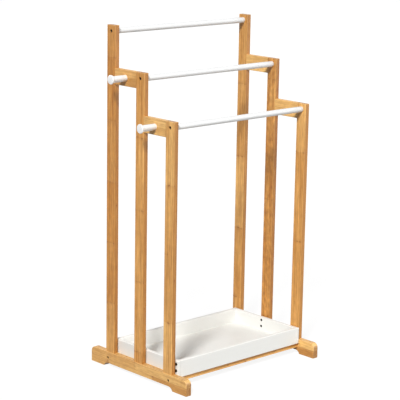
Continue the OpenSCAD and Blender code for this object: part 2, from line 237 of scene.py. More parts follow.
def ring_surface(s, r, turn, shape=None, closed=False):
    """A surface round the X axis: point k of the profile becomes a ring at x = s[k] whose radius
    is r[k] times shape[k] at each angle of turn. A profile that starts or ends on the axis is
    closed there by a pole, and a closed profile runs back to its first ring. Gives the points, the
    quads and the triangles."""
    s, r = np.asarray(s, float), np.asarray(r, float)
    shape = np.ones((len(s), len(turn))) if shape is None else shape
    rings = np.flatnonzero(r > 0.001 * MM)
    radius = r[rings, None] * shape[rings]
    x = np.broadcast_to(s[rings, None], radius.shape)
    points = [np.stack([x, radius * np.cos(turn), radius * np.sin(turn)], axis=-1).reshape(-1, 3)]
    index = np.arange(radius.size).reshape(radius.shape)
    rows = np.vstack([index, index[:1]]) if closed else index
    near, far = rows[:-1], rows[1:]
    quads = np.stack([near, far, np.roll(far, -1, 1), np.roll(near, -1, 1)], -1).reshape(-1, 4)
    tris = [np.empty((0, 3), int)]
    for pole, ring, way in ((0, index[0], 1), (-1, index[-1], -1)):
        if not closed and pole % len(s) not in rings:
            tip = np.full(len(turn), radius.size + len(points) - 1)
            points.append(np.array([[s[pole], 0.0, 0.0]]))
            tris.append(np.stack([tip, ring, np.roll(ring, -1)], -1)[:, ::way])
    return np.vstack(points), quads, np.vstack(tris)


def shell(surface, place, way=1):
    """A closed surface drawn along +X from the origin, put at place and pointing along way * X. Its
    faces are turned round if they point inwards, which they do where the volume under them adds up
    to less than nothing."""
    points, quads, tris = surface
    points = points * (way, 1, 1)
    halves = np.vstack([quads[:, :3], quads[:, [0, 2, 3]], tris])
    a, b, c = (points[halves[:, k]] for k in range(3))
    order = -1 if np.einsum("ij,ij->i", a, np.cross(b, c)).sum() < 0 else 1
    return points + place, quads[:, ::order], tris[:, ::order]


def piece(name, shells, material, stands_for, crease=35):
    """One object from several shells. It rides on the rack's body and stands for the frame's
    node."""
    starts = np.cumsum([0] + [len(points) for points, *_ in shells])
    faces = []
    for start, (_, quads, tris) in zip(starts, shells):
        faces += (quads + start).tolist() + (tris + start).tolist()
    mesh = bpy.data.meshes.new(name)
    mesh.from_pydata(np.vstack([points for points, *_ in shells]), [], faces)
    mesh.polygons.foreach_set("use_smooth", np.ones(len(mesh.polygons), bool))
    mesh.set_sharp_from_angle(angle=math.radians(crease))
    mesh.materials.append(material)
    mesh.validate()
    made = bpy.data.objects.new(name, mesh)
    bpy.context.scene.collection.objects.link(made)
    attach(made, BODY)
    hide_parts(stands_for)
    return made


def full_turn(segments):
    """Angles once round a circle."""
    return np.linspace(0, 2 * math.pi, segments, endpoint=False)


def arc(centre, radius, start, stop, steps=8):
    """Profile points on a circle's arc, as [s, r] rows; angles in degrees, 0 along +s."""
    angles = np.radians(np.linspace(start, stop, steps))
    return np.stack([centre[0] + radius * np.cos(angles), centre[1] + radius * np.sin(angles)], -1)


def hexagon(turn):
    """Distance from a hexagon's centre to its edge, for a hexagon whose flats are 2 apart."""
    return 1 / np.cos((turn + math.pi / 6) % (math.pi / 3) - math.pi / 6)


# ---- materials --------------------------------------------------------------


NOISE_RANGE = {"From Min": 0.3, "From Max": 0.7}  # most of a noise's values lie between these


def add(tree, kind, links=None, **options):
    """Adds a shader node with its options and links, and gives its first output that is in use. An
    input, called by its number or by its name, takes another node's output or a plain value."""
    made = tree.nodes.new("ShaderNode" + kind)
    for name, value in options.items():
        setattr(made, name, value)
    for key, value in (links or {}).items():
        socket = next(socket for number, socket in enumerate(made.inputs)
                      if key == number or (key == socket.name and socket.enabled))
        if isinstance(value, bpy.types.NodeSocket):
            tree.links.new(value, socket)
        else:
            socket.default_value = value
    return next((output for output in made.outputs if output.enabled), None)


def new_material(name):
    """An empty material, its node tree, and its points' places on the rack in millimetres."""
    material = bpy.data.materials.new(name)
    material.use_nodes = True
    tree = material.node_tree
    tree.nodes.clear()
    coords = add(tree, "TexCoord").node.outputs["Object"]
    return material, tree, add(tree, "VectorMath", {0: coords, "Scale": 1 / MM}, operation="SCALE")


class Board(NamedTuple):
    """How one board was cut."""
    along: int  # the axis of its grain
    tones: tuple  # its tone at its low and its high end, from 0, deep, to 1, pale
    bands: tuple  # the spacing of its node bands and the place of the first, in mm
    strips: int = 1  # strips side by side
    lift: float = 0.0  # how much paler each strip is than the one below it
    shade: float = 1.0  # its brightness beside the other boards
    mottling: float = 0.3  # strength of the cloudy figure
    dull: float = 0.8  # how far its narrow faces lean to the duller colour


class Parts(NamedTuple):
    """The strips or the layers that one board is glued up from."""
    axis: int  # the axis along which they follow each other
    number: int
    pitch: float  # from one to the next, in mm


class Cane(NamedTuple):
    """Sockets for the place of a point in a board's cane, from the board's low corner."""
    u: bpy.types.NodeSocket  # across the strips, in mm
    v: bpy.types.NodeSocket  # through the layers, in mm
    w: bpy.types.NodeSocket  # along the grain, in mm
    over: bpy.types.NodeSocket  # across the strips, counted in strips
    through: bpy.types.NodeSocket  # through the layers, counted in layers
    strip: bpy.types.NodeSocket  # the number of its strip
    layer: bpy.types.NodeSocket  # the number of its layer


# Noise drawn out along the grain. Each row gives the size of its grains across, through and along a
# board, in mm. The finest fibres are drawn at about twice their real width, so that they show.
GRAINS = {
    "bow": (16.0, 16.0, 60.0),  # bends the node bands
    "ripple": (2.2, 2.2, 9.0),  # makes them waver
    "patch": (7.0, 7.0, 45.0),  # makes them strong here and weak there
    "broad": (5.5, 4.4, 170.0),  # broad streaks
    "medium": (1.7, 1.7, 60.0),  # bundles of fibres
    "fine": (0.7, 0.7, 24.0),  # single fibres
    "cloud": (9.0, 9.0, 16.0),  # the cloudy figure
}
LOT_REACH = 977.0  # mm along the grain over which the strips' lots spread their noise
STRETCHES = 31.0  # more than one board has between its node bands; keeps the boards' lots apart
BAND_REACH = {"bow": 7.0, "ripple": 3.0}  # mm from the least to the most that each moves a band
BAND_STEPS = {"layer": 0.37, "strip": 0.61}  # share of their spacing that the bands move on by
SPARE = 0.1  # mm by which a board is taken larger all round, so that no face lies just on a joint
FACE_ON = {"From Min": 0.85, "From Max": 0.98}  # from a rounded edge to a face seen as flat
NO_JOINT = 1000.0  # mm to the nearest joint, for a board that has none
HOLE_SPARE = 0.6  # mm by which a hole's darkened wall, painted shade with torn fibre, is taken to reach past the screw's head


def build_up(node, board, layer_t):
    """A board's low corner and its length in mm, and its strips and its layers. The strips lie side
    by side on its broad faces, and the layers lie under each other."""
    low, high = (corner / MM for corner in box_of(node))
    sides = high - low
    across, depth = sorted((axis for axis in range(3) if axis != board.along),
                           key=lambda axis: -sides[axis])
    layers = round(sides[depth] * MM / layer_t)
    strips = Parts(across, board.strips, (sides[across] + 2 * SPARE) / board.strips)
    layers = Parts(depth, layers, (sides[depth] + 2 * SPARE) / layers)
    return low - SPARE, sides[board.along], strips, layers


def place_in_cane(tree, place, low, along, strips, layers):
    """The sockets of a Cane, from a point's place on the rack in mm."""
    place = add(tree, "VectorMath", {0: place, 1: tuple(low)}, operation="SUBTRACT")
    axes = add(tree, "SeparateXYZ", {0: place}).node.outputs
    over, through = (add(tree, "Math", {0: axes[parts.axis], 1: parts.pitch}, operation="DIVIDE")
                     for parts in (strips, layers))
    strip, layer = (add(tree, "Math", {0: count}, operation="FLOOR") for count in (over, through))
    return Cane(axes[strips.axis], axes[layers.axis], axes[along], over, through, strip, layer)


def drawn_lot(tree, cane, number):
    """A random number from 0 to 1 for each strip, layer and further number."""
    name = add(tree, "CombineXYZ", {0: cane.strip, 1: cane.layer, 2: number})
    lots = add(tree, "TexWhiteNoise", {"Vector": name}, noise_dimensions="3D").node.outputs
    return lots["Value"]


def grain_noise(tree, cane, lot):
    """The noise of each row of GRAINS, moved along the grain by the strip's lot."""
    shift = add(tree, "Math", {0: lot, 1: LOT_REACH, 2: cane.w}, operation="MULTIPLY_ADD")
    place = add(tree, "CombineXYZ", {0: cane.u, 1: cane.v, 2: shift})
    noise = {}
    for grain, stretch in GRAINS.items():
        placed = add(tree, "VectorMath", {0: place, 1: stretch}, operation="DIVIDE")
        noise[grain] = add(tree, "TexNoise", {"Vector": placed, "Scale": 1.0, "Detail": 2.0})
    return noise


def node_bands(tree, cane, board, noise, band_h):
    """How strong a node band's line and its smudge are at each point, and the number of the
    stretch between two bands. A band bows and wavers a little, and it is patchy."""
    gap, first = board.bands
    turn = add(tree, "Math", {0: cane.w, 1: 1 / gap, 2: 0.5 - first / gap},
               operation="MULTIPLY_ADD")
    for kind, step in BAND_STEPS.items():
        turn = add(tree, "Math", {0: getattr(cane, kind), 1: step, 2: turn},
                   operation="MULTIPLY_ADD")
    stretch = add(tree, "Math", {0: turn, 1: 0.5}, operation="SUBTRACT")
    stretch = add(tree, "Math", {0: stretch}, operation="FLOOR")

    # How far the nearest band is, in mm. The noise adds half its reach on average, so that much is
    # taken off first.
    away = add(tree, "Math", {0: turn}, operation="FRACT")
    away = add(tree, "Math", {0: away, 1: gap, 2: -gap / 2 - sum(BAND_REACH.values()) / 2},
               operation="MULTIPLY_ADD")
    for grain, reach in BAND_REACH.items():
        away = add(tree, "Math", {0: noise[grain], 1: reach, 2: away}, operation="MULTIPLY_ADD")
    away = add(tree, "Math", {0: away}, operation="ABSOLUTE")

    line = add(tree, "MapRange", {"Value": away, "From Min": 0.3 * band_h,
                                  "From Max": 0.9 * band_h, "To Min": 0.7, "To Max": 0.0},
               interpolation_type="SMOOTHSTEP")
    smudge = add(tree, "MapRange", {"Value": away, "From Min": 1.0, "From Max": 3.5 * band_h,
                                    "To Min": 0.3, "To Max": 0.0},
                 interpolation_type="SMOOTHSTEP")
    patchy = add(tree, "MapRange", {"Value": noise["patch"], "From Min": 0.48, "From Max": 0.64,
                                    "To Min": 0.1})
    line, smudge = (add(tree, "Math", {0: part, 1: patchy}, operation="MULTIPLY")
                    for part in (line, smudge))
    return line, smudge, stretch


def wood_colour(tree, cane, board, length, lots, noise, narrow):
    """The colour of the wood without its dark lines. The tone picks it between deep and pale, and
    the shade is its brightness beside that of a middling board, which is 1. The lots of the strips
    and of the stretches between the bands move both about the board's own values, and so does the
    noise. The narrow faces lean to a duller colour, and there the layers differ more."""
    look = settings("bamboo")
    strip_lot, stretch_lot = lots
    first, last = board.tones
    tone = add(tree, "Math", {0: cane.w, 1: (last - first) / length,
                              2: first - board.lift * (board.strips - 1) / 2},
               operation="MULTIPLY_ADD")
    tone = add(tree, "Math", {0: cane.strip, 1: board.lift, 2: tone}, operation="MULTIPLY_ADD")
    # Wide boards of two strips are sawn from calmer cane.
    calm = 1.0 if board.strips == 1 else 0.5
    weights = {"tone": ((strip_lot, 0.2), (stretch_lot, 0.3), (noise["broad"], 1.1 * calm)),
               "shade": ((noise["broad"], 0.7 * calm), (noise["medium"], 1.1 * calm),
                         (noise["cloud"], 1.6 * board.mottling))}
    sums = {"tone": tone, "shade": board.shade}
    for kind, parts in weights.items():
        for part, weight in parts:
            start = add(tree, "Math", {0: sums[kind], 1: weight / 2}, operation="SUBTRACT")
            sums[kind] = add(tree, "Math", {0: part, 1: weight, 2: start},
                             operation="MULTIPLY_ADD")

    tint = rgba(look.deep)
    steps = (({"Value": sums["tone"], "From Min": 0.0, "From Max": 0.5}, look.body),
             ({"Value": sums["tone"], "From Min": 0.5, "From Max": 1.0}, look.pale),
             ({"Value": narrow, **FACE_ON, "To Max": board.dull}, look.edge_on))
    for reach, there in steps:
        amount = add(tree, "MapRange", reach)
        tint = add(tree, "Mix", {"Factor": amount, "A": tint, "B": rgba(there)},
                   data_type="RGBA")

    layered = add(tree, "MapRange", {"Value": narrow, **FACE_ON, "To Min": 0.2, "To Max": 0.3})
    lot = add(tree, "Math", {0: strip_lot, 1: 0.5}, operation="SUBTRACT")
    shade = add(tree, "Math", {0: lot, 1: layered, 2: sums["shade"]}, operation="MULTIPLY_ADD")
    # A shade over 1 scales the colour up, and a shade under 1 turns it to a redder brown.
    brighter = add(tree, "Math", {0: shade, 1: 1.0}, operation="MAXIMUM")
    tint = add(tree, "VectorMath", {0: tint, "Scale": brighter}, operation="SCALE")
    browner = add(tree, "MapRange", {"Value": shade, "From Min": 1.0, "From Max": 0.4,
                                     "To Max": 0.85})
    return add(tree, "Mix", {"Factor": browner, "A": tint, "B": rgba(look.band)},
               data_type="RGBA")


def glue_lines(tree, counts):
    """How strong the glue lines are at each point. Each row of counts is the point's place counted
    in strips or layers, and those strips or layers."""
    to_joint = NO_JOINT
    for count, parts in counts:
        if parts.number > 1:
            nearest = add(tree, "Math", {0: count}, operation="ROUND")
            nearest = add(tree, "Clamp", {"Value": nearest, "Min": 1.0,
                                          "Max": parts.number - 1.0})
            gap = add(tree, "Math", {0: count, 1: nearest}, operation="SUBTRACT")
            gap = add(tree, "Math", {0: gap}, operation="ABSOLUTE")
            gap = add(tree, "Math", {0: gap, 1: parts.pitch}, operation="MULTIPLY")
            to_joint = add(tree, "Math", {0: gap, 1: to_joint}, operation="MINIMUM")
    return add(tree, "MapRange", {"Value": to_joint, "From Min": 0.2, "From Max": 0.9,
                                  "To Min": 0.4, "To Max": 0.0},
               interpolation_type="SMOOTHSTEP")


def cut_faces(tree, tint, cane, facing, along):
    """Adds to the colour what the cuts bare, and a painted highlight. The end grain shows the fibre
    bundles as dark dots about 1.5 mm apart, and the rounded edges are painted paler, as a highlight
    for the light that they catch."""
    look = settings("bamboo")
    section = add(tree, "CombineXYZ", {0: cane.u, 1: cane.v})
    dots = add(tree, "TexVoronoi", {"Vector": section, "Scale": 0.7})
    dots = add(tree, "MapRange", {"Value": dots, "From Min": 0.15, "From Max": 0.45,
                                  "To Min": 0.8, "To Max": 0.48})
    most = add(tree, "Math", {0: facing[0], 1: facing[1]}, operation="MAXIMUM")
    most = add(tree, "Math", {0: most, 1: facing[2]}, operation="MAXIMUM")
    steps = (({"Value": facing[along], "From Min": 0.8, "From Max": 0.95, "To Max": dots},
              look.pore),
             # Painted highlight: the rounded edges lean to a paler colour.
             ({"Value": most, "From Min": 0.99, "From Max": 0.9, "To Max": 0.25}, look.edge_highlight))
    for reach, there in steps:
        amount = add(tree, "MapRange", reach)
        tint = add(tree, "Mix", {"Factor": amount, "A": tint, "B": rgba(there)},
                   data_type="RGBA")
    return tint


def drilled(node):
    """The middles of the screw holes in a board, and their radius, in mm. All screws lie along X.
    A screw is the board's if its middle lies behind or before the board's broad face, less than the
    board's thickness from its low side."""
    low, high = (corner / MM for corner in box_of(node))
    for group, (head_r, *_) in SCREW_GROUPS.items():
        for corners in islands(group):
            middle = sum(corners) / 2 / MM
            inside = (low < middle)[1:].all() and (middle < high)[1:].all()
            if inside and abs(middle[0] - low[0]) < high[0] - low[0]:
                yield (0.0, *middle[1:]), head_r + HOLE_SPARE


def hole_walls(tree, tint, node):
    """Adds to the colour the walls of a board's drilled holes: painted shade for the hollow, with
    the dark of torn fibre.
    """
    flat = add(tree, "TexCoord").node.outputs["Object"]
    flat = add(tree, "VectorMath", {0: flat, 1: (0.0, 1 / MM, 1 / MM)}, operation="MULTIPLY")
    for middle, radius in drilled(node):
        away = add(tree, "VectorMath", {0: flat, 1: middle}, operation="DISTANCE")
        # Painted shade: the hollow of the hole is darkened, along with its torn fibre.
        hole_shade_and_torn_fibre = add(tree, "MapRange", {"Value": away, "From Min": radius,
                                      "From Max": radius + 0.1, "To Min": 0.85, "To Max": 0.0})
        tint = add(tree, "Mix", {"Factor": hole_shade_and_torn_fibre, "A": tint, "B": rgba(settings("bamboo").hole_shade_and_torn_fibre)},
                   data_type="RGBA")
    return tint


def bamboo(node, board, seed):
    """Laminated bamboo: flat strips of cane, glued in layers, planed, smoothed with abrasive and
    given a clear satin lacquer. The broad faces show whole strips, with fine fibres along them and
    a faint, partly smudged line across at each of the cane's nodes. The narrow faces show the
    layers' edges and look duller. The rounded edges carry a painted highlight."""
    look = settings("bamboo")
    low, length, strips, layers = build_up(node, board, look.layer_t)
    wood = f"laminated bamboo, satin lacquer, {node.replace('_', ' ')}"
    material, tree, place = new_material(wood)
    cane = place_in_cane(tree, place, low, board.along, strips, layers)
    strip_lot = drawn_lot(tree, cane, seed)
    noise = grain_noise(tree, cane, strip_lot)
    line, smudge, stretch = node_bands(tree, cane, board, noise, look.band_h / MM)
    stretch = add(tree, "Math", {0: stretch, 1: seed * STRETCHES}, operation="ADD")
    stretch_lot = drawn_lot(tree, cane, stretch)

    # How squarely a point's face looks along each axis: 1 on a face, less on a rounded edge.
    facing = add(tree, "TexCoord").node.outputs["Normal"]
    facing = add(tree, "VectorMath", {0: facing}, operation="ABSOLUTE")
    facing = add(tree, "SeparateXYZ", {0: facing}).node.outputs

    tint = wood_colour(tree, cane, board, length, (strip_lot, stretch_lot), noise,
                       facing[strips.axis])
    fibre = add(tree, "MapRange", {"Value": noise["fine"], "From Min": 0.45, "From Max": 0.3,
                                   "To Max": 0.35})
    glue = glue_lines(tree, ((cane.over, strips), (cane.through, layers)))
    for amount in (fibre, glue, smudge, line):
        tint = add(tree, "Mix", {"Factor": amount, "A": tint, "B": rgba(look.band)},
                   data_type="RGBA")
    tint = cut_faces(tree, tint, cane, facing, board.along)
    tint = hole_walls(tree, tint, node)

    # The fibres and the bands stand up a little, and the lacquer is smoother on the fibres' crests.
    gloss = add(tree, "MapRange", {"Value": noise["fine"], **NOISE_RANGE,
                                   "To Min": look.roughness + 0.07,
                                   "To Max": look.roughness - 0.06})
    height = add(tree, "Math", {0: noise["medium"], 1: 0.6, 2: noise["fine"]},
                 operation="MULTIPLY_ADD")
    height = add(tree, "Math", {0: height, 1: line}, operation="ADD")
    bump = add(tree, "Bump", {"Height": height, "Strength": 0.3, "Distance": 0.12 * MM})
    shader = add(tree, "BsdfPrincipled", {"Base Color": tint, "Roughness": gloss, "Normal": bump,
                                          "IOR": 1.45, "Coat Weight": look.coat,
                                          "Coat Roughness": 0.25})
    add(tree, "OutputMaterial", {"Surface": shader})
    return material


def paint(name, tint, roughness, grit_mm, depth_mm, coat=0.0):
    """White paint or powder coating. It is opaque, with a fine orange peel of grit_mm from crest to
    crest and depth_mm high, and a faint unevenness of tone in clouds of 70 mm."""
    material, tree, place = new_material(name)
    peel = add(tree, "TexNoise", {"Vector": place, "Scale": 1 / grit_mm, "Detail": 2.0})
    cloud = add(tree, "TexNoise", {"Vector": place, "Scale": 1 / 70, "Detail": 3.0})
    shade = add(tree, "MapRange", {"Value": cloud, **NOISE_RANGE, "To Max": 0.05})
    greyer = rgba(linear("#C9C6BE"))
    tint = add(tree, "Mix", {"Factor": shade, "A": rgba(tint), "B": greyer}, data_type="RGBA")
    gloss = add(tree, "MapRange", {"Value": peel, **NOISE_RANGE, "To Min": roughness - 0.04,
                                   "To Max": roughness + 0.05})
    bump = add(tree, "Bump", {"Height": peel, "Strength": 0.3, "Distance": depth_mm * MM})
    shader = add(tree, "BsdfPrincipled", {"Base Color": tint, "Roughness": gloss, "Normal": bump,
                                          "IOR": 1.5, "Coat Weight": coat})
    add(tree, "OutputMaterial", {"Surface": shader})
    return material


def worn_metal(name, tint, bright, roughness, metallic):
    """Screw steel: black oxide or zinc over drawn steel, rubbed brighter and smoother by the driver
    in patches about 1 mm wide."""
    material, tree, place = new_material(name)
    rub = add(tree, "TexNoise", {"Vector": place, "Scale": 0.9, "Detail": 4.0})
    amount = add(tree, "MapRange", {"Value": rub, "From Min": 0.5, "From Max": 0.75,
                                    "To Max": 0.5})
    tint = add(tree, "Mix", {"Factor": amount, "A": rgba(linear(tint)),
                             "B": rgba(linear(bright))}, data_type="RGBA")
    gloss = add(tree, "MapRange", {"Value": rub, **NOISE_RANGE, "To Min": roughness + 0.08,
                                   "To Max": roughness - 0.08})
    shader = add(tree, "BsdfPrincipled", {"Base Color": tint, "Roughness": gloss,
                                          "Metallic": metallic})
    add(tree, "OutputMaterial", {"Surface": shader})
    return material


def moulded_nylon():
    """Dark moulded nylon: a faint grain of half a millimetre and a soft sheen."""
    material, tree, place = new_material("dark moulded nylon")
    grain = add(tree, "TexNoise", {"Vector": place, "Scale": 2.0, "Detail": 2.0})
    tint = add(tree, "Mix", {"Factor": grain, "A": rgba(linear("#1E1B19")),
                             "B": rgba(linear("#2A2623"))}, data_type="RGBA")
    shader = add(tree, "BsdfPrincipled", {"Base Color": tint, "Roughness": 0.5})
    add(tree, "OutputMaterial", {"Surface": shader})
    return material


def beech(node, along):
    """Plain beech dowel: pale wood with short dark flecks, about 1.6 mm wide and 16 mm long, along
    the grain."""
    material, tree, place = new_material(f"plain beech, {node.replace('_', ' ')}")
    stretch = [1.6] * 3
    stretch[along] = 16.0
    place = add(tree, "VectorMath", {0: place, 1: stretch}, operation="DIVIDE")
    fleck = add(tree, "TexNoise", {"Vector": place, "Scale": 1.0, "Detail": 3.0})
    amount = add(tree, "MapRange", {"Value": fleck, "From Min": 0.35, "From Max": 0.65})
    tint = add(tree, "Mix", {"Factor": amount, "A": rgba(linear("#B98F5E")),
                             "B": rgba(linear("#E0C094"))}, data_type="RGBA")
    shader = add(tree, "BsdfPrincipled", {"Base Color": tint, "Roughness": 0.6})
    add(tree, "OutputMaterial", {"Surface": shader})
    return material


def dress(node, material):
    """Gives a frame node its material."""
    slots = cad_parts[node].data.materials
    slots.clear()
    slots.append(material)


# ---- pieces -----------------------------------------------------------------


# The bands of the short boards lie so far apart that few of their strips show one.
FAR_BANDS = (400.0, 200.0)

BOARDS = {
    "left_rear_post": Board(UP, (0.30, 0.20), (148.0, 125.5), mottling=0.4, dull=0.5),
    "left_middle_post": Board(UP, (0.28, 0.28), (172.0, 27.0)),
    "left_front_post": Board(UP, (0.50, 0.62), (162.0, 124.0), shade=1.04),
    "right_rear_post": Board(UP, (0.50, 0.60), (186.0, 60.0)),
    "right_middle_post": Board(UP, (0.10, 0.36), (152.0, 34.0), shade=0.86, mottling=0.9),
    "right_front_post": Board(UP, (0.46, 0.46), (224.0, 26.0)),
    "left_upper_rail": Board(BACK, (0.64, 0.64), FAR_BANDS, strips=2, lift=0.1, dull=0.0),
    "left_lower_rail": Board(BACK, (0.96, 0.96), FAR_BANDS, strips=2, lift=0.1, dull=0.0),
    "right_upper_rail": Board(BACK, (0.95, 0.95), FAR_BANDS, strips=2, lift=0.1, shade=1.06,
                              dull=0.0),
    "right_lower_rail": Board(BACK, (0.74, 0.74), FAR_BANDS, strips=2, lift=0.1, shade=1.04,
                              dull=0.0),
    "left_foot": Board(BACK, (0.76, 0.76), (164.0, 118.0), strips=2, lift=0.25, dull=0.25),
    "right_foot": Board(BACK, (0.66, 0.66), (176.0, 92.0), strips=2, lift=0.35, dull=0.25),
    "front_cross_rail": Board(SIDEWAYS, (0.46, 0.46), (158.0, 70.0), shade=1.05, mottling=0.4,
                              dull=0.0),
    "rear_cross_rail": Board(SIDEWAYS, (0.46, 0.46), (181.0, 33.0), shade=1.05, mottling=0.4,
                             dull=0.0),
}


class RACK_OT_timber(bpy.types.Operator):
    """Finish the bamboo boards: posts, short rails, feet and cross rails"""
    bl_idname = "rack.timber"
    bl_label = "Finish the bamboo"

    def execute(self, context):
        for seed, (node, board) in enumerate(BOARDS.items(), start=1):
            dress(node, bamboo(node, board, seed))
        return {"FINISHED"}


class RACK_OT_tray(bpy.types.Operator):
    """Paint the tray's floor and four walls"""
    bl_idname = "rack.tray"
    bl_label = "Paint the tray"

    def execute(self, context):
        satin = paint("white satin paint on fibreboard, rolled", settings("paint").board,
                      roughness=0.42, grit_mm=1.8, depth_mm=0.05)
        for part in ("floor", "front", "back", "left_end", "right_end"):
            dress(f"tray_{part}", satin)
        return {"FINISHED"}


class RACK_OT_bars(bpy.types.Operator):
    """Make the three round bars"""
    bl_idname = "rack.bars"
    bl_label = "Make the bars"

    def execute(self, context):
        look = settings("bar")
        coating = paint("white powder coating on steel tube", settings("paint").tube,
                        roughness=0.42, grit_mm=1.2, depth_mm=0.04)
        for row in ROWS:
            node = f"{row}_bar"
            low, high = box_of(node)
            half, radius, ease = (high[0] - low[0]) / 2, (high[2] - low[2]) / 2, look.end_ease
            bore = radius - look.wall
            # The wall's own outline, run round the axis: out along the tube, back along its bore.
            corners = (((half - ease, radius - ease), 90), ((half - ease, bore + ease), 0),
                       ((-half + ease, bore + ease), -90), ((-half + ease, radius - ease), 180))
            outline = np.vstack([arc(centre, ease, start, start - 90, 4)
                                 for centre, start in corners])
            tube = ring_surface(*outline.T, full_turn(look.segments), closed=True)
            whole = [shell(tube, middle_of(node))]
            piece(f"{row}_white_bar", whole, coating, node)
        return {"FINISHED"}


def peg_profile(look, length, head_r):
    """Half section of a peg, from the bottom of its stud hole out to the middle of its face: shaft,
    flare that opens like a quarter wave, rounded rim and a face that bulges as a parabola."""
    shaft_r, rim, stud_r = look.shaft_d / 2, look.rim_r, look.stud_d / 2
    head_s = length - look.head_t - look.dome
    t = np.linspace(0, 1, 12)[1:]
    flare = np.stack([head_s - look.flare_l * (1 - np.sin(t * math.pi / 2)),
                      shaft_r + (head_r - rim / 2 - shaft_r) * (1 - np.cos(t * math.pi / 2))], -1)
    face_s, face_r = length - look.dome, head_r - rim
    t = np.linspace(0, 1, 8)[1:]
    face = np.stack([face_s + look.dome * (1 - (1 - t) ** 2), face_r * (1 - t)], -1)
    hole = [(look.stud_l, 0), (look.stud_l, stud_r), (0, stud_r)]
    foot = [(0, shaft_r - look.foot_r), (look.foot_r, shaft_r)]
    # Of the rim's back only the outer half is round. The flare runs into it.
    back = arc((head_s + rim, face_r), rim, 180, 90, 6)[3:]
    front = arc((face_s - rim, face_r), rim, 90, 0, 6)
    return np.vstack([hole, foot, flare, back, front, face])


class RACK_OT_pegs(bpy.types.Operator):
    """Make the four turned pegs"""
    bl_idname = "rack.pegs"
    bl_label = "Make the pegs"

    def execute(self, context):
        look = settings("peg")
        gloss = paint("white gloss paint on turned wood", settings("paint").peg,
                      roughness=0.28, grit_mm=2.5, depth_mm=0.03, coat=0.3)
        for side, way in SIDES.items():
            for row in PEG_ROWS:
                node = f"{side}_{row}_peg"
                low, high = box_of(node)
                foot = middle_of(node)
                foot[0] = low[0] if way > 0 else high[0]
                profile = peg_profile(look, high[0] - low[0], (high[2] - low[2]) / 2)
                turned = shell(ring_surface(*profile.T, full_turn(look.segments)), foot, way)
                piece(f"{side}_{row}_turned_peg", [turned], gloss, node)
        return {"FINISHED"}


def screw(look, head_r, head_t, shank_r, length):
    """A screw along +X with its face at x = 0 and its tip at x = -length. The face is a shallow
    dome, a parabola, round a hexagon socket with an eased mouth. The shank's radius rises and falls
    once for each turn of its thread, and the tip is a blunt cone."""
    turn = full_turn(look.segments)
    hex_r = head_r * look.socket * math.cos(math.pi / 6)
    depth, mouth_s, mouth_r = 0.6 * head_t, 0.4 * look.dome, 1.08 * hex_r
    socket = [(-depth, 0), (-depth, hex_r), (-mouth_s, hex_r), (0, mouth_r)]
    t = np.linspace(0, 1, 5)
    dome_r, rim_r = 1.25 * hex_r, look.rim_r
    dome = np.stack([-look.dome * t ** 2, dome_r + (head_r - rim_r - dome_r) * t], -1)
    rim = arc((-look.dome - rim_r, head_r - rim_r), rim_r, 60, 0, 3)
    steps = max(4, int((length - head_t) / look.thread_pitch * 4))
    s = np.linspace(-head_t, -length + shank_r, steps)
    shank = np.stack([s, np.full(steps, shank_r)], -1)
    tip = [(-length, 0.35 * shank_r), (-length, 0)]
    profile = np.vstack([socket, dome, rim, [(-head_t, head_r)], shank, tip])
    shape = np.ones((len(profile), len(turn)))
    shape[1:3] = hexagon(turn)
    wave = np.abs((s[:, None] / look.thread_pitch + turn / (2 * math.pi)) % 1 - 0.5) * 2
    shape[-steps - 1:-2] = 1 - look.thread_h / shank_r * wave[1:]
    return ring_surface(*profile.T, turn, shape)


# Each group of screws: its heads' radius and thickness, and its shanks' radius, in millimetres.
SCREW_GROUPS = {
    "bar_screws": (3.8, 2.8, 2.0),
    "cross_rail_screws": (3.2, 3.0, 2.0),
    "tray_corner_screws": (3.3, 2.2, 1.7),
    "tray_fixing_screws": (3.3, 2.2, 1.7),
}


def islands(node):
    """The boxes of a frame node's separate solids, found by growing groups of points that share an
    edge."""
    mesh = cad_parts[node].data
    co, ends = np.empty(3 * len(mesh.vertices)), np.empty(2 * len(mesh.edges), int)
    mesh.vertices.foreach_get("co", co)
    mesh.edges.foreach_get("vertices", ends)
    co = co.reshape(-1, 3)
    # Points in one place, to 0.01 mm, count as one.
    _, same = np.unique(np.round(co / (0.01 * MM)).astype(int), axis=0, return_inverse=True)
    ends = same.reshape(-1)[ends].reshape(-1, 2)
    label, grown = None, np.arange(same.max() + 1)
    while label is None or (grown != label).any():
        label, grown = grown, grown.copy()
        least = label[ends].min(axis=1)
        np.minimum.at(grown, ends[:, 0], least)
        np.minimum.at(grown, ends[:, 1], least)
    owner = label[same.reshape(-1)]
    return [(co[owner == k].min(0), co[owner == k].max(0)) for k in np.unique(owner)]


class RACK_OT_screws(bpy.types.Operator):
    """Make all the screws, with domed heads, hexagon sockets and threads"""
    bl_idname = "rack.screws"
    bl_label = "Make the screws"

    def execute(self, context):
        look = settings("screw")
        oxide = worn_metal("black oxide on steel screws", "#1F1710", "#3A3026", roughness=0.46,
                           metallic=0.4)
        for node, sizes in SCREW_GROUPS.items():
            # The tray's fixing screws are driven from inside it, and all the others from outside.
            out = -1 if node == "tray_fixing_screws" else 1
            head_r, head_t, shank_r = (value * MM for value in sizes)
            shells = []
            for low, high in islands(node):
                place = (low + high) / 2
                way = out if place[0] > 0 else -out
                place[0] = high[0] if way > 0 else low[0]
                one = screw(look, head_r, head_t, shank_r, high[0] - low[0])
                shells.append(shell(one, place, way))
            piece(f"black_{node}", shells, oxide, node)
        return {"FINISHED"}


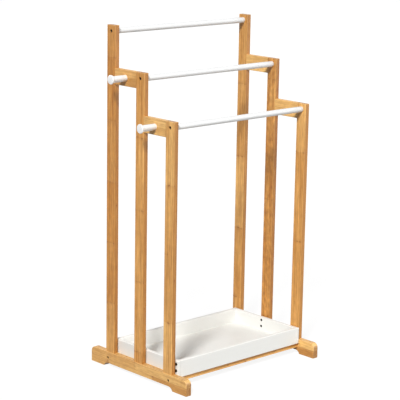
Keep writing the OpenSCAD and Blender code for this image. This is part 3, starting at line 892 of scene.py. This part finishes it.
class RACK_OT_fittings(bpy.types.Operator):
    """Finish the parts inside the joints: plugs, studs, dowels and spacers"""
    bl_idname = "rack.fittings"
    bl_label = "Finish the inner fittings"

    def execute(self, context):
        zinc = worn_metal("zinc-plated steel", "#9A9C9E", "#C4C6C8", roughness=0.38, metallic=1.0)
        for node in ("bar_plugs", "peg_studs"):
            dress(node, zinc)
        dress("tray_spacers", moulded_nylon())
        for node, along in (("post_dowels", UP), ("rail_dowels", BACK)):
            dress(node, beech(node, along))
        return {"FINISHED"}


# ---- studio -----------------------------------------------------------------


def lamp_object(data, direction, distance):
    """A lamp that stands in a direction from the rack's middle and looks at it."""
    made = bpy.data.objects.new(data.name, data)
    way = Vector(direction).normalized()
    made.location = Vector((0, 0, CAD_BOX[1][2] / 2)) + way * distance
    made.rotation_euler = way.to_track_quat("Z", "Y").to_euler()
    bpy.context.scene.collection.objects.link(made)


def far_lamp(name, brightness, direction, spread):
    """A far lamp. Seen from the rack it is a disc as wide as spread, which softens its shadows."""
    data = bpy.data.lights.new(name, "SUN")
    data.energy = brightness * math.pi
    data.angle = spread
    lamp_object(data, direction, 6.0)


def wide_lamp(name, brightness, direction, width, height=4.0, distance=8.0):
    """A wide lamp; sizes in metres."""
    data = bpy.data.lights.new(name, "AREA")
    data.shape, data.size, data.size_y = "RECTANGLE", width, height
    data.energy = brightness * (math.pi * distance) ** 2
    lamp_object(data, direction, distance)


def seen_directly(tree):
    """1 for the rays that show a thing as it is: from the camera, in a reflection or through
    glass."""
    rays = add(tree, "LightPath").node.outputs
    reflected = add(tree, "Math", {0: rays["Is Glossy Ray"], 1: rays["Is Transmission Ray"]},
                    operation="MAXIMUM")
    return add(tree, "Math", {0: rays["Is Camera Ray"], 1: reflected}, operation="MAXIMUM")


def pale_floor(thrown_back):
    """A wide matt floor. Seen directly it is nearly white and keeps a faint share of the rack's
    shadow, and the light that it throws back on the rack is that of a pale grey floor."""
    half = 30.0
    corners = [(-half, -half, 0), (half, -half, 0), (half, half, 0), (-half, half, 0)]
    mesh = bpy.data.meshes.new("studio_floor")
    mesh.from_pydata(corners, [], [(0, 1, 2, 3)])
    material = bpy.data.materials.new("pale matt floor")
    material.use_nodes = True
    tree = material.node_tree
    tree.nodes.clear()
    seen = seen_directly(tree)
    pale, glow, glowing_share = 0.96, 1.04, 0.85
    tint = add(tree, "Mix", {"Factor": seen, "A": rgba([thrown_back] * 3),
                             "B": rgba([pale] * 3)}, data_type="RGBA")
    matt = add(tree, "BsdfDiffuse", {"Color": tint})
    white = add(tree, "Emission", {"Color": rgba([1.0] * 3), "Strength": glow})
    whiteness = add(tree, "Math", {0: seen, 1: glowing_share}, operation="MULTIPLY")
    surface = add(tree, "MixShader", {0: whiteness, 1: matt, 2: white})
    add(tree, "OutputMaterial", {"Surface": surface})
    mesh.materials.append(material)
    floor = bpy.data.objects.new("studio_floor", mesh)
    bpy.context.scene.collection.objects.link(floor)


class RACK_OT_studio(bpy.types.Operator):
    """Set the floor, the lamps, the sky and the camera"""
    bl_idname = "rack.studio"
    bl_label = "Set the studio"

    def execute(self, context):
        look = settings("studio")
        scene = context.scene
        scene.view_settings.view_transform = "Standard"
        world = bpy.data.worlds.new("studio sky")
        world.use_nodes = True
        tree = world.node_tree
        tree.nodes.clear()
        strength = add(tree, "MapRange", {"Value": seen_directly(tree), "To Min": look.sky})
        sky = add(tree, "Background", {"Color": rgba([1.0] * 3), "Strength": strength})
        add(tree, "OutputWorld", {"Surface": sky})
        scene.world = world
        pale_floor(look.floor)
        far_lamp("key_lamp", look.key, (-0.68, -0.46, 0.68), look.key_spread)
        wide_lamp("fill_lamp", look.fill, (0.5, -1.0, 0.24), 8.0)
        # Neither of these stands opposite the camera, where it would glare on the rails' tops.
        wide_lamp("right_lamp", look.back, (1.0, 0.05, 0.2), 6.0)
        wide_lamp("rear_lamp", look.back, (0.05, 1.0, 0.2), 6.0)

        camera = bpy.data.cameras.new("camera")
        camera.lens, camera.sensor_width = look.lens, 36
        camera.clip_start, camera.clip_end = 0.1, 100
        made = bpy.data.objects.new("camera", camera)
        a, e = look.azimuth, look.elevation
        back = Vector((math.sin(a) * math.cos(e), -math.cos(a) * math.cos(e), math.sin(e)))
        turn = (-back).to_track_quat("-Z", "Y").to_matrix() @ Matrix.Rotation(look.roll, 3, "Z")
        made.matrix_world = Matrix.Translation(look.place) @ turn.to_4x4()
        scene.collection.objects.link(made)
        scene.camera = made
        return {"FINISHED"}


class RACK_PT_tools(bpy.types.Panel):
    """Lists the steps that make the rack"""
    bl_label = "Towel rack"
    bl_idname = "RACK_PT_tools"
    bl_space_type = "VIEW_3D"
    bl_region_type = "UI"
    bl_category = "Towel rack"

    def draw(self, context):
        for step in STEPS:
            self.layout.operator(step.bl_idname)
        for group, kind in SETTING_GROUPS.items():
            column = self.layout.column(align=True)
            column.label(text=kind.__doc__)
            for name in kind.__annotations__:
                column.prop(settings(group), name)


STEPS = (RACK_OT_studio, RACK_OT_timber, RACK_OT_tray, RACK_OT_bars, RACK_OT_pegs, RACK_OT_screws,
         RACK_OT_fittings)


def register():
    """Registers the settings, the steps and the panel."""
    for kind in (*SETTING_GROUPS.values(), *STEPS, RACK_PT_tools):
        bpy.utils.register_class(kind)
    for group, kind in SETTING_GROUPS.items():
        setattr(bpy.types.Scene, "towel_rack_" + group, PointerProperty(type=kind))


def unregister():
    """Takes back what register did."""
    for group in SETTING_GROUPS:
        delattr(bpy.types.Scene, "towel_rack_" + group)
    for kind in reversed((*SETTING_GROUPS.values(), *STEPS, RACK_PT_tools)):
        bpy.utils.unregister_class(kind)


def main():
    register()
    for step in STEPS:
        group, name = step.bl_idname.split(".")
        getattr(getattr(bpy.ops, group), name)()


if __name__ == "__main__":
    main()
